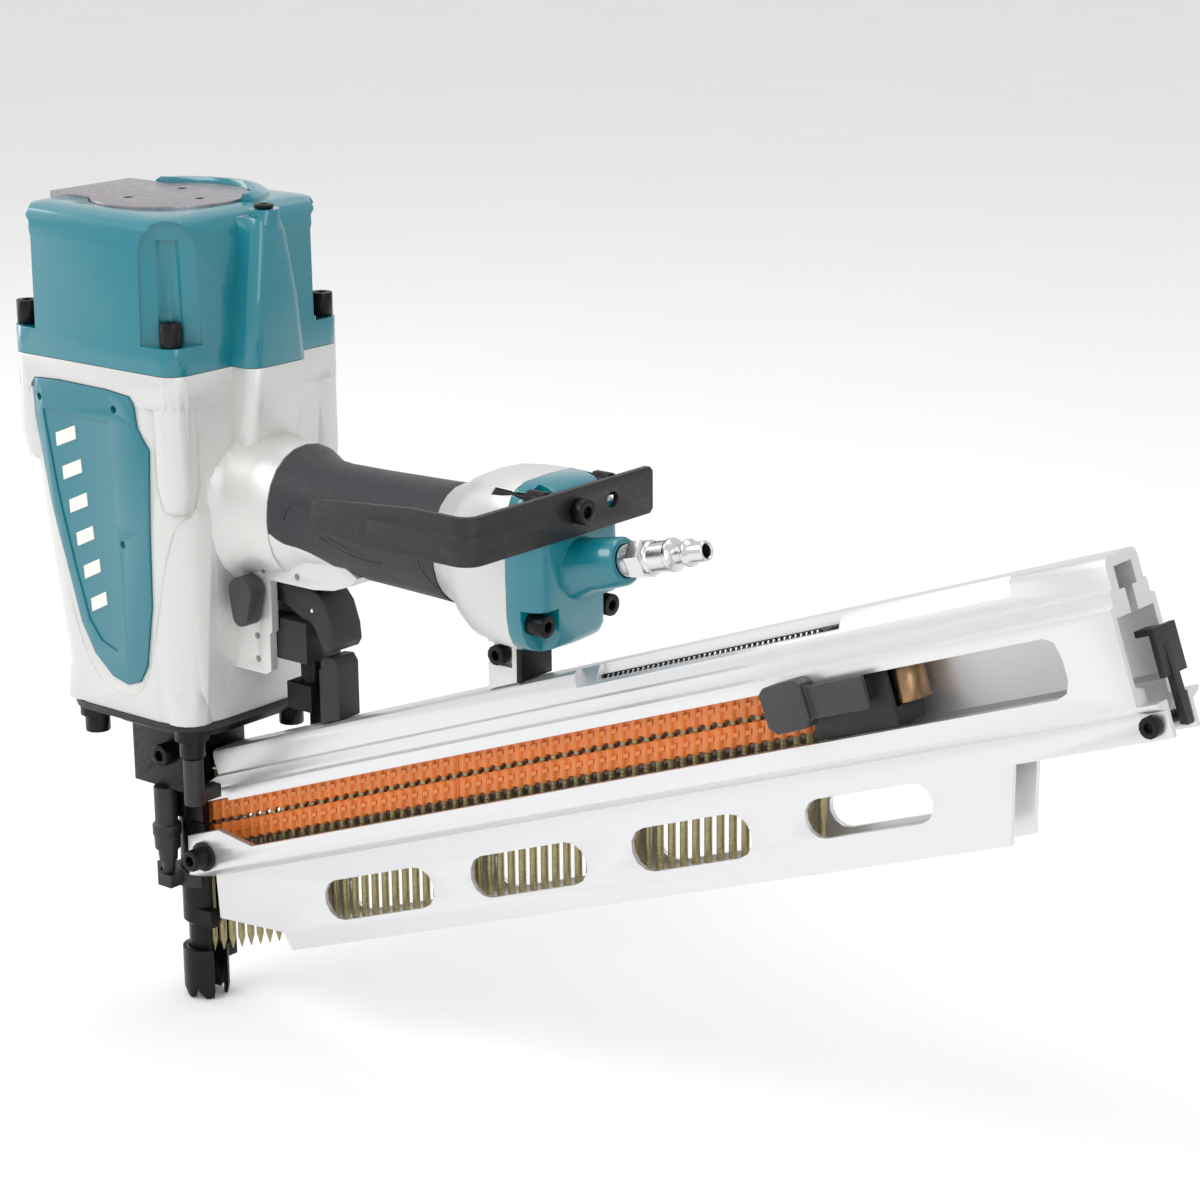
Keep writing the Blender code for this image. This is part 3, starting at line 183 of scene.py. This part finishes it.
def rubber(name, colour):
    """Matt rubber with a pebbled skin."""
    m = Maker(name, colour, 0.62, 0.0, spec=0.4)
    m.tint(m.noise(90, 4), shade(colour, 0.85), shade(colour, 1.2))
    m.rough(m.noise(200, 3), 0.52, 0.68)
    m.bump(m.cells(2600), 0.22, 0.00012)
    m.put("Sheen Weight", 0.12)
    m.put("Sheen Roughness", 0.5)
    return m.mat


def black_metal(name, colour, rough=0.4, metal=0.75):
    """Coated steel with a slight grain."""
    m = Maker(name, colour, rough, metal, coat=0.1, coat_rough=0.25)
    m.tint(m.noise(240, 5), shade(colour, 0.75), shade(colour, 1.5))
    m.rough(m.noise(500, 4), rough - 0.08, rough + 0.12)
    m.bump(m.noise(1800, 3), 0.14, 0.0001)
    return m.mat


def plastic(name, colour, rough=0.48):
    """Moulded plastic with a spark-eroded skin."""
    m = Maker(name, colour, rough, 0.0, spec=0.5)
    m.tint(m.noise(120, 4), shade(colour, 0.85), shade(colour, 1.18))
    m.rough(m.noise(700, 3), rough - 0.06, rough + 0.08)
    m.bump(m.cells(3200), 0.16, 0.00008)
    return m.mat


def extrusion(name, colour):
    """Satin aluminium with fine draw lines along the magazine."""
    m = Maker(name, colour, 0.36, 0.72)
    lines = m.mapped((30, 6000, 6000), (0, TILT, 0))
    m.tint(m.noise(1.0, 4, lines), shade(colour, 0.93), shade(colour, 1.04))
    m.rough(m.noise(1.0, 3, lines), 0.28, 0.42)
    m.bump(m.noise(1.0, 3, lines), 0.10, 0.00006)
    m.bump(m.noise(40, 3), 0.04, 0.0006)
    return m.mat


def bright_metal(name, colour, rough=0.22):
    """Plated or machined bare metal."""
    m = Maker(name, colour, rough, 1.0)
    m.tint(m.noise(260, 3), shade(colour, 0.94), shade(colour, 1.04))
    m.rough(m.noise(900, 3), rough - 0.03, rough + 0.06)
    m.bump(m.noise(1700, 2), 0.02, 0.00004)
    return m.mat


def coated_nail(name, colour):
    """Shank with rolled rings and a thin tinted coating."""
    m = Maker(name, colour, 0.34, 0.85)
    m.tint(m.noise(500, 4), shade(colour, 0.62), shade(colour, 1.35))
    w = m.tree.nodes.new("ShaderNodeTexWave")
    w.bands_direction = "Z"
    w.inputs["Scale"].default_value = 200.0
    m.link(m.coords, w.inputs["Vector"])
    m.bump(w.outputs["Fac"], 0.35, 0.0002)
    m.rough(m.noise(900, 3), 0.26, 0.46)
    return m.mat


def ribbon_steel(name, colour):
    """Tempered spring steel, streaked along its winding."""
    m = Maker(name, colour, 0.28, 1.0)
    wound = m.mapped((900, 900, 60), (0, -TILT, 0))
    m.tint(m.noise(1.0, 2, wound), shade(colour, 0.7), shade(colour, 1.35))
    m.rough(m.noise(300, 3), 0.26, 0.38)
    m.bump(m.noise(1.0, 2, wound), 0.06, 0.00005)
    return m.mat


def floor_finish():
    """Matt white paper."""
    m = Maker("floor_paper", (0.90, 0.90, 0.90), 0.9)
    m.tint(m.noise(6, 3), (0.90, 0.90, 0.90), (0.93, 0.93, 0.93))
    m.bump(m.noise(800, 3), 0.05, 0.0002)
    return m.mat


TEAL = (0.0, 0.172, 0.222)
LOOK = {
    "teal": gloss_paint("teal_gloss", TEAL),
    "badge": gloss_paint("badge_satin", (0.0, 0.160, 0.208)),
    "mark": plastic("mark_cream", (0.80, 0.78, 0.72), 0.4),
    "silver": flake_paint("silver_flake", (0.66, 0.66, 0.645)),
    "rubber": rubber("grip_rubber", (0.026, 0.028, 0.032)),
    "seal": rubber("seal_rubber", (0.016, 0.016, 0.017)),
    "black": black_metal("blackened_steel", (0.010, 0.010, 0.011)),
    "hook": black_metal("hook_steel", (0.016, 0.015, 0.016), 0.5, 0.2),
    "plastic": plastic("black_moulding", (0.013, 0.013, 0.0145)),
    "lever": plastic("grey_moulding", (0.034, 0.034, 0.038)),
    "cream": plastic("cream_moulding", (0.62, 0.55, 0.40)),
    "cover": black_metal("satin_cover", (0.30, 0.28, 0.30), 0.36, 0.75),
    "extrusion": extrusion("satin_extrusion", (0.74, 0.74, 0.75)),
    "bright": bright_metal("bright_zinc", (0.70, 0.70, 0.71)),
    "liner": bright_metal("honed_liner", (0.66, 0.66, 0.67), 0.3),
    "orange": plastic("orange_band", (0.85, 0.26, 0.06), 0.32),
    "nail": coated_nail("coated_shank", (0.34, 0.29, 0.15)),
    "nail_head": bright_metal("nail_head", (0.60, 0.58, 0.52), 0.32),
    "ribbon": ribbon_steel("ribbon_steel", (0.32, 0.20, 0.11)),
}

# ---------------------------------------------------------------- carried-over CAD nodes
WELD_DISTANCE = 0.00001  # metres
FLAT_ANGLE = math.radians(0.6)  # faces this close to one plane are joined
EDGE_ANGLE = math.radians(34)  # edges sharper than this are softened
WIDE_EDGE = 0.5  # from this width on an edge takes three segments
DRESS = {  # node: (look, width of its softened edges)
    "head_cap": ("teal", 0.9), "exhaust_cover": ("cover", 0.5), "end_cap": ("teal", 0.5),
    "badge_left": ("badge", 0.5), "badge_right": ("badge", 0.5),
    "grip_sleeve": ("rubber", 0.7), "body_housing": ("silver", 0.45), "support_bracket": ("silver", 0.5),
    "cylinder_liner": ("liner", 0.3), "piston_driver": ("bright", 0.3),
    "driven_nail": ("nail", 0.15), "head_valve": ("cream", 0.4), "head_valve_spring": ("bright", 0.0),
    "contact_spring": ("bright", 0.0), "bumper": ("seal", 0.6), "base_gasket": ("seal", 0.3),
    "nose_frame": ("black", 0.5), "nosepiece": ("black", 0.3), "nosepiece_clamp": ("plastic", 0.3),
    "depth_adjuster": ("plastic", 0.3), "guide_column": ("plastic", 0.4), "contact_arm": ("black", 0.35),
    "arm_guide": ("plastic", 0.6), "arm_post": ("plastic", 0.6), "trigger": ("plastic", 0.6),
    "trigger_idler": ("bright", 0.2), "trigger_valve_body": ("plastic", 0.3),
    "trigger_valve_stem": ("bright", 0.15), "selector_lever": ("lever", 0.8),
    "magazine_channel": ("extrusion", 0.35), "pusher": ("plastic", 0.4), "pusher_knob": ("lever", 0.9),
    "ribbon_roll": ("ribbon", 0.1), "nail_stop_lever": ("plastic", 0.3), "bracket_strap": ("black", 0.3),
    "belt_hook": ("hook", 0.5), "magazine_front_bolt": ("black", 0.3),
}
for name in NODES:
    if name not in DRESS and ("bolt" in name or "screw" in name):
        DRESS[name] = ("black", 0.3)


def dress(name, look, width):
    """Material, clean faces and softened edges on a CAD node."""
    obj = NODES[name]
    obj.data.materials.clear()
    obj.data.materials.append(LOOK[look])
    obj.data.shade_smooth()
    weld = obj.modifiers.new("weld", "WELD")
    weld.merge_threshold = WELD_DISTANCE
    flat = obj.modifiers.new("flat", "DECIMATE")
    flat.decimate_type = "DISSOLVE"
    flat.angle_limit = FLAT_ANGLE
    if width > 0:
        edge = obj.modifiers.new("edge", "BEVEL")
        edge.width = width * MM
        edge.segments = 3 if width >= WIDE_EDGE else 2
        edge.limit_method = "ANGLE"
        edge.angle_limit = EDGE_ANGLE
        edge.harden_normals = True
        edge.use_clamp_overlap = True


for name, (look, width) in DRESS.items():
    dress(name, look, width)


# ---------------------------------------------------------------- helpers for new pieces
def piece(name, pile, look, node=None, smooth=32):
    """A new object on the tool body, which may stand in for a CAD node."""
    mesh = bpy.data.meshes.new(name)
    mesh.from_pydata([tuple(v) for v in pile.verts], [], pile.faces)
    bm = bmesh.new()
    bm.from_mesh(mesh)
    bmesh.ops.remove_doubles(bm, verts=bm.verts[:], dist=1e-7)
    bmesh.ops.recalc_face_normals(bm, faces=bm.faces[:])
    bm.to_mesh(mesh)
    bm.free()
    obj = bpy.data.objects.new(name, mesh)
    bpy.context.scene.collection.objects.link(obj)
    mesh.materials.append(LOOK[look])
    mesh.shade_smooth()
    mesh.set_sharp_from_angle(angle=math.radians(smooth))
    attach(obj, "tool")
    if node:
        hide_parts(node)


def circle(centre, u, v, radius, sides):
    """Points on a circle in the plane of u and v."""
    step = 2 * math.pi / sides
    return [centre + (u * math.cos(step * k) + v * math.sin(step * k)) * (radius * MM) for k in range(sides)]


class Pile:
    """Vertices and faces of one piece, gathered bit by bit."""

    def __init__(self):
        self.verts = []
        self.faces = []

    def rings(self, rings, closed=True):
        """A skin over a run of like rings, with an end cap at each end if closed."""
        base = len(self.verts)
        n = len(rings[0])
        for ring in rings:
            self.verts.extend(ring)
        for k in range(len(rings) - 1):
            for i in range(n):
                j = (i + 1) % n
                a = base + k * n
                self.faces.append((a + i, a + j, a + n + j, a + n + i))
        if closed:
            self.faces.append(tuple(base + i for i in reversed(range(n))))
            last = base + (len(rings) - 1) * n
            self.faces.append(tuple(last + i for i in range(n)))

    def turned(self, origin, axis, profile, sides, closed=True):
        """A turned shape; profile: (distance along axis, radius)."""
        u = axis.orthogonal().normalized()
        v = axis.cross(u)
        self.rings([circle(origin + axis * (t * MM), u, v, r, sides) for t, r in profile], closed)


# ---------------------------------------------------------------- collated nails
PITCH = 6.05  # from nail to nail
HEAD_Z = -211.4  # height of the heads' line where it meets the drive axis
LENGTH = 89.5
SHANK_R = 1.62
SHANK = ((1.3, SHANK_R), (12.0, SHANK_R), (29.0, SHANK_R), (LENGTH - 5.5, SHANK_R), (LENGTH - 0.3, 0.25))
HEAD_R = 3.45
HEAD = ((0, 3.1), (0.35, HEAD_R), (1.1, HEAD_R), (2.0, 1.7))
SLEEVE_ROWS = ((16.6, 9.4), (28.0, 9.2))  # each row of sleeves: drop below the heads, height
WEB_ROWS = ((17.0, 8.4), (28.4, 8.2))  # the web behind each row
WEB_HALF = 1.2
LINK_IN = 1.7  # a link starts this far from its nail's axis
LINK_TALL = 1.8
LINK_HALF = 2.75
LINK_SLOPE = RISE * PITCH / 4
END_GAP = 0.2


def sleeve(band, x, high, low):
    """Moulded tube of the band around one shank, drawn in a little at both ends."""
    rings = []
    for z, grow in ((high, 0.78), (high - 0.7, 1.0), (low + 0.7, 1.0), (low, 0.78)):
        ring = []
        for k in range(12):
            a = math.pi * k / 6
            ring.append(tool(x + 2.3 * grow * math.cos(a), 2.9 * grow * math.sin(a), z))
        rings.append(ring)
    band.rings(rings)


def slab(band, start, end, tall, half):
    """A flat bar of the band, whose top edge runs from start to end (x, z)."""
    band.rings([[tool(start[0], y, start[1]), tool(end[0], y, end[1]),
                 tool(end[0], y, end[1] - tall), tool(start[0], y, start[1] - tall)]
                for y in (-half, half)])


def nails(name, first, count, node):
    """One strip of nails: its shanks, its heads and its band."""
    shanks = Pile()
    heads = Pile()
    band = Pile()
    last = first + count - 1
    for i in range(first, last + 1):
        x = i * PITCH
        z = HEAD_Z + x * RISE
        top = tool(x, 0, z)
        shanks.turned(top, DOWN, SHANK, 10)
        heads.turned(top, DOWN, HEAD, 14)
        for drop, tall in SLEEVE_ROWS:
            sleeve(band, x, z - drop, z - drop - tall)
            if i < last:
                edge = z - drop - tall * 0.45 + PITCH / 2 * RISE + LINK_TALL / 2
                slab(band, (x + LINK_IN, edge - LINK_SLOPE), (x + PITCH - LINK_IN, edge + LINK_SLOPE),
                     LINK_TALL, LINK_HALF)
    x0 = (first - 0.5) * PITCH + END_GAP
    x1 = (last + 0.5) * PITCH - END_GAP
    for drop, tall in WEB_ROWS:
        slab(band, (x0, HEAD_Z - drop + x0 * RISE), (x1, HEAD_Z - drop + x1 * RISE), tall, WEB_HALF)
    piece(name + "_shanks", shanks, "nail", node, smooth=40)
    piece(name + "_heads", heads, "nail_head", smooth=40)
    piece(name + "_band", band, "orange", smooth=30)


nails("strip_front", 1, 26, "nail_strip_front")
nails("strip_rear", 27, 31, "nail_strip_rear")


# ---------------------------------------------------------------- fine beads and lines
def bead(pile, points, radius):
    """A thin round bead along a run of points, narrower at its two ends."""
    rings = []
    last = len(points) - 1
    for i, p in enumerate(points):
        t = (points[min(i + 1, last)] - points[max(i - 1, 0)]).normalized()
        u = t.cross(Vector((0.13, 0.2, 0.97))).normalized()
        rings.append(circle(p, u, t.cross(u), radius * (0.35 if i in (0, last) else 1.0), 6))
    pile.rings(rings)


def smooth_run(knots, steps=6):
    """Points of a Catmull-Rom run through (x, z) knots."""
    out = []
    n = len(knots)
    for i in range(n - 1):
        a, b, c, d = knots[max(i - 1, 0)], knots[i], knots[i + 1], knots[min(i + 2, n - 1)]
        for k in range(steps):
            t = k / steps
            out.append(tuple(0.5 * (2 * b[j] + (c[j] - a[j]) * t
                                    + (2 * a[j] - 5 * b[j] + 4 * c[j] - d[j]) * t * t
                                    + (3 * b[j] - a[j] - 3 * c[j] + d[j]) * t ** 3) for j in (0, 1)))
    out.append(knots[-1])
    return out


def along(table, t):
    """The row of a table at t, its first entry, read linearly between two rows."""
    rows = sorted(table)
    for p, q in zip(rows, rows[1:]):
        if t <= q[0]:
            k = max(0.0, (t - p[0]) / (q[0] - p[0]))
            return [a + (b - a) * k for a, b in zip(p, q)]
    return list(rows[-1])


# the body casting: height, half width, radius of its upright corners
BODY = ((-17.8, 51.0, 20.0), (-42.0, 50.6, 20.0), (-85.0, 48.6, 20.0), (-133.0, 45.2, 20.0),
        (-174.0, 42.0, 19.0))


def body_side(x, z):
    """Distance of the casting's side from the middle plane."""
    _, half, r = along(BODY, z)
    if abs(x) <= half - r:
        return half
    arc = []
    for k in range(5):
        a = math.radians(22.5 * k)
        arc.append((half - r + r * math.sin(a), half - r + r * math.cos(a)))
    return along(arc, abs(x))[1]


# raised seam round the badge, as (x, z)
SEAM = ((48.6, -76.0), (44.0, -80.5), (40.3, -85.7), (36.8, -96.0), (32.3, -112.2), (27.8, -128.5),
        (23.0, -144.0), (18.0, -155.0), (11.0, -162.6), (2.0, -166.0), (-8.0, -163.5), (-17.0, -155.0),
        (-23.0, -139.5), (-27.5, -120.0))
seams = Pile()
for side in (-1, 1):
    bead(seams, [tool(x, side * (body_side(x, z) - 0.12), z) for x, z in smooth_run(SEAM)], 0.42)
piece("casting_seams", seams, "silver", smooth=60)

# the grip's rubber: x, half width, half height of a rounded section centred on GRIP_Z
SLEEVE = ((76.5, 24.8, 28.8), (79.0, 24.4, 28.2), (82.5, 22.8, 26.2), (88.0, 21.2, 24.0), (98.0, 20.5, 23.2),
          (118.0, 20.3, 23.4), (140.0, 20.6, 24.0), (158.0, 20.8, 24.5), (165.9, 20.9, 24.9))
SLEEVE_POWER = 2.15
GRIP_Z = -79.5
GRIP_RUNS = (
    ((83.4, -79.0), (84.4, -74.6), (88.0, -71.4), (97.0, -69.4), (108.0, -68.8), (122.0, -69.5)),
    ((100.0, -82.0), (108.8, -85.6), (119.0, -88.2), (128.0, -89.2), (137.0, -88.9)),
    ((106.0, -82.4), (114.0, -84.8), (124.0, -86.4), (132.0, -86.6)),
    ((156.0, -80.0), (158.6, -86.0), (161.6, -91.0), (165.2, -95.0)),
)


def grip_side(x, z):
    """Distance of the grip's surface from the middle plane."""
    _, half, tall = along(SLEEVE, x)
    return half * (1 - (abs(z - GRIP_Z) / tall) ** SLEEVE_POWER) ** (1 / SLEEVE_POWER)


grip_lines = Pile()
for side in (-1, 1):
    for knots in GRIP_RUNS:
        bead(grip_lines, [tool(x, side * (grip_side(x, z) - 0.1), z) for x, z in smooth_run(knots)], 0.36)
piece("grip_lines", grip_lines, "rubber", smooth=60)

# plain slanted bars on the two badges
BAR_STEP = 14.6
for side, label in ((-1, "left"), (1, "right")):
    bars = Pile()
    for k in range(6):
        x = -17.5 + 2.1 * k
        z = -55.0 - BAR_STEP * k
        wide = 6.4 - 0.25 * k
        outline = ((x - wide, z - 1.4), (x + wide, z + 3.6), (x + wide, z + 9.6), (x - wide, z + 4.6))
        middle_z = z + 4.1
        rings = []
        for out, inset in ((0.15, 0.0), (0.62, 0.0), (0.8, 0.25)):
            rings.append([tool(x + (px - x) * (1 - inset / wide), side * (along(BODY, pz)[1] + out),
                               middle_z + (pz - middle_z) * (1 - inset / 4)) for px, pz in outline])
        bars.rings(rings)
    piece("badge_bars_" + label, bars, "mark", smooth=30)


# ---------------------------------------------------------------- spring in the magazine's top slot
SPRING_START = 152.0
SPRING_END = 296.8
SPRING_Y = -2.7
SPRING_H = -198.3
COIL_R = 2.5
WIRE_R = 0.45
TURNS = 54
STEPS = 12  # rings in a turn
spring = Pile()
rings = []
for k in range(TURNS * STEPS + 1):
    a = 2 * math.pi * k / STEPS
    s = SPRING_START + (SPRING_END - SPRING_START) * k / (TURNS * STEPS)
    centre = mag(s, SPRING_Y + COIL_R * math.cos(a), SPRING_H + COIL_R * math.sin(a))
    rings.append(circle(centre, ACROSS * math.cos(a) + UP * math.sin(a), ALONG, WIRE_R, 5))
spring.rings(rings)
piece("magazine_spring", spring, "bright", smooth=60)

# ---------------------------------------------------------------- air plug
INLET_TILT = math.radians(15)
INLET = tool(250.0, 0.0, -72.8)
INLET_AXIS = Vector((math.cos(INLET_TILT), 0.0, math.sin(INLET_TILT)))
BORE_R = 2.7
NUT = ((4.5, 7.2), (5.3, 8.2), (10.9, 8.2), (11.7, 7.2))
thread = []
for k in range(5):
    start = 0.8 * k
    thread += [(start + 0.2, 6.0), (start + 0.45, 6.45), (start + 0.75, 6.45), (start + 0.95, 6.0)]
collar = [(4.5, 6.0), (11.7, 6.1), (12.7, 6.1), (12.9, 6.9), (13.2, 7.05), (13.9, 7.05), (14.2, 6.9),
          (14.8, 6.15), (22.9, 6.15), (23.1, 6.6), (23.4, 6.75), (24.8, 6.75), (25.1, 6.55)]
nipple = [(26.4, 4.0), (26.8, 3.9), (30.4, 3.9), (30.8, 4.1), (31.6, 5.4), (31.9, 5.55), (32.8, 5.55),
          (33.1, 5.4), (34.2, 4.2), (34.5, 4.1), (40.3, 4.1), (40.7, 3.9), (40.9, 3.6), (40.9, 3.1),
          (40.4, 2.75)]
outside = [(-13.0, 6.2)] + thread + collar + nipple + [(-13.0, BORE_R), (-13.0, 6.2)]
plug = Pile()
plug.turned(INLET, INLET_AXIS, outside, 40, closed=False)
plug.turned(INLET, INLET_AXIS, NUT, 6)
piece("air_plug_turned", plug, "bright", "air_plug", smooth=30)

# ---------------------------------------------------------------- floor, light, camera
FLOOR_SIZE = 60  # metres, so that its far edge is never in view
FLOOR_GAP = 0.0006
floor_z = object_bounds()[0].z - FLOOR_GAP
bpy.ops.mesh.primitive_plane_add(size=FLOOR_SIZE, location=(0, 0, floor_z))
floor = bpy.context.object
floor.name = "studio_floor"
floor.data.materials.append(floor_finish())

world = bpy.data.worlds.new("studio")
bpy.context.scene.world = world
world.use_nodes = True
background = world.node_tree.nodes["Background"]
background.inputs["Color"].default_value = (1, 1, 1, 1)
background.inputs["Strength"].default_value = 0.80


def softbox(name, place, aim, size, power):
    """A large soft lamp at place, turned to aim; metres and watts."""
    data = bpy.data.lights.new(name, "AREA")
    data.shape = "RECTANGLE"
    data.size = size[0]
    data.size_y = size[1]
    data.energy = power
    lamp = bpy.data.objects.new(name, data)
    bpy.context.scene.collection.objects.link(lamp)
    lamp.location = place
    lamp.rotation_mode = "QUATERNION"
    lamp.rotation_quaternion = (Vector(aim) - Vector(place)).to_track_quat("-Z", "Y")


softbox("key_light", (-0.5, -1.3, 1.5), (0.05, 0, -0.05), (1.2, 0.9), 16)
softbox("left_light", (-1.7, -0.2, 0.5), (0, 0, 0), (0.5, 1.4), 7)
softbox("right_light", (1.6, -1.0, 0.7), (0.1, 0, 0), (0.6, 1.2), 6)
softbox("top_light", (0.1, 0.5, 1.8), (0, 0, 0), (1.6, 0.8), 8)

AZIMUTH = math.radians(39.56)
ELEVATION = math.radians(16.86)
ROLL = math.radians(-0.49)
DISTANCE = 1.3566  # metres from the drive axis
AXIS_RIGHT = -0.13398  # where the drive axis stands in the picture, as shares of the distance
AXIS_UP = 0.10983
right = Vector((math.cos(AZIMUTH), math.sin(AZIMUTH), 0.0))
forward = Vector((-math.sin(AZIMUTH) * math.cos(ELEVATION), math.cos(AZIMUTH) * math.cos(ELEVATION),
                  -math.sin(ELEVATION)))
upward = right.cross(forward)
right, upward = (right * math.cos(ROLL) + upward * math.sin(ROLL),
                 upward * math.cos(ROLL) - right * math.sin(ROLL))
camera_data = bpy.data.cameras.new("camera")
camera_data.sensor_width = 36
camera_data.lens = 94.2
camera_data.shift_x = 0.0033
camera_data.shift_y = 0.0417
camera_data.clip_start = 0.05
camera = bpy.data.objects.new("camera", camera_data)
bpy.context.scene.collection.objects.link(camera)
camera.matrix_world = Matrix((
    (right.x, upward.x, -forward.x, 0),
    (right.y, upward.y, -forward.y, 0),
    (right.z, upward.z, -forward.z, 0),
    (0, 0, 0, 1),
))
camera.location = AXIS - (right * AXIS_RIGHT + upward * AXIS_UP + forward) * DISTANCE
bpy.context.scene.camera = camera
bpy.context.scene.view_settings.view_transform = "Standard"
